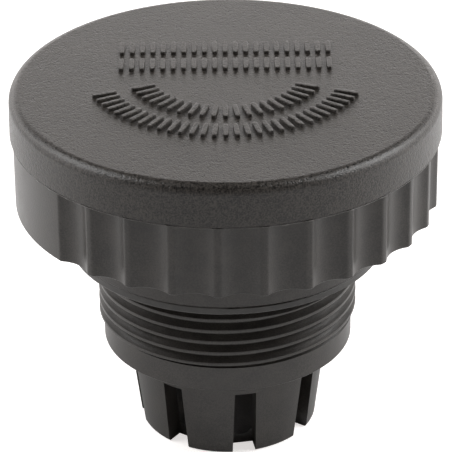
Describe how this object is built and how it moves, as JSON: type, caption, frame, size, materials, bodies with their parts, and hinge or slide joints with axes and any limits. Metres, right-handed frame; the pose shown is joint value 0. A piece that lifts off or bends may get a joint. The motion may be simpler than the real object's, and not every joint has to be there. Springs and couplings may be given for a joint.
{
  "type": "hydraulic tank filler breather",
  "caption": "Round screw-in air breather for a hydraulic tank: mushroom cover, fluted grip, gasket, threaded neck and slotted splash guard, with a pleated paper element inside.",
  "frame": {"origin": "centre of the flange gasket's underside, which is the seating plane on the tank", "axes": "+Z along the breather's axis, out of the tank towards the cover"},
  "size_m": [0.0686, 0.0686, 0.0595],
  "materials": {
    "housing_plastic": "satin moulded glass-filled polyamide, black",
    "cover_plastic": "fine spark-eroded grain, black",
    "splash_guard_plastic": "satin moulded, black",
    "gasket_rubber": "smooth nitrile rubber",
    "seal_rubber": "matt nitrile rubber",
    "end_disc_plastic": "satin moulded, dark grey",
    "core_plastic": "satin moulded, dark grey",
    "filter_paper": "resin-impregnated filter paper"
  },
  "bodies": {
    "root": {"housing": "housing_plastic", "cover": "cover_plastic", "splash_guard": "splash_guard_plastic", "flange_gasket": "gasket_rubber", "element_seal": "seal_rubber", "lower_end_disc": "end_disc_plastic", "upper_end_disc": "end_disc_plastic", "core_tube": "core_plastic", "pleated_paper": "filter_paper"}
  },
  "joints": []
}
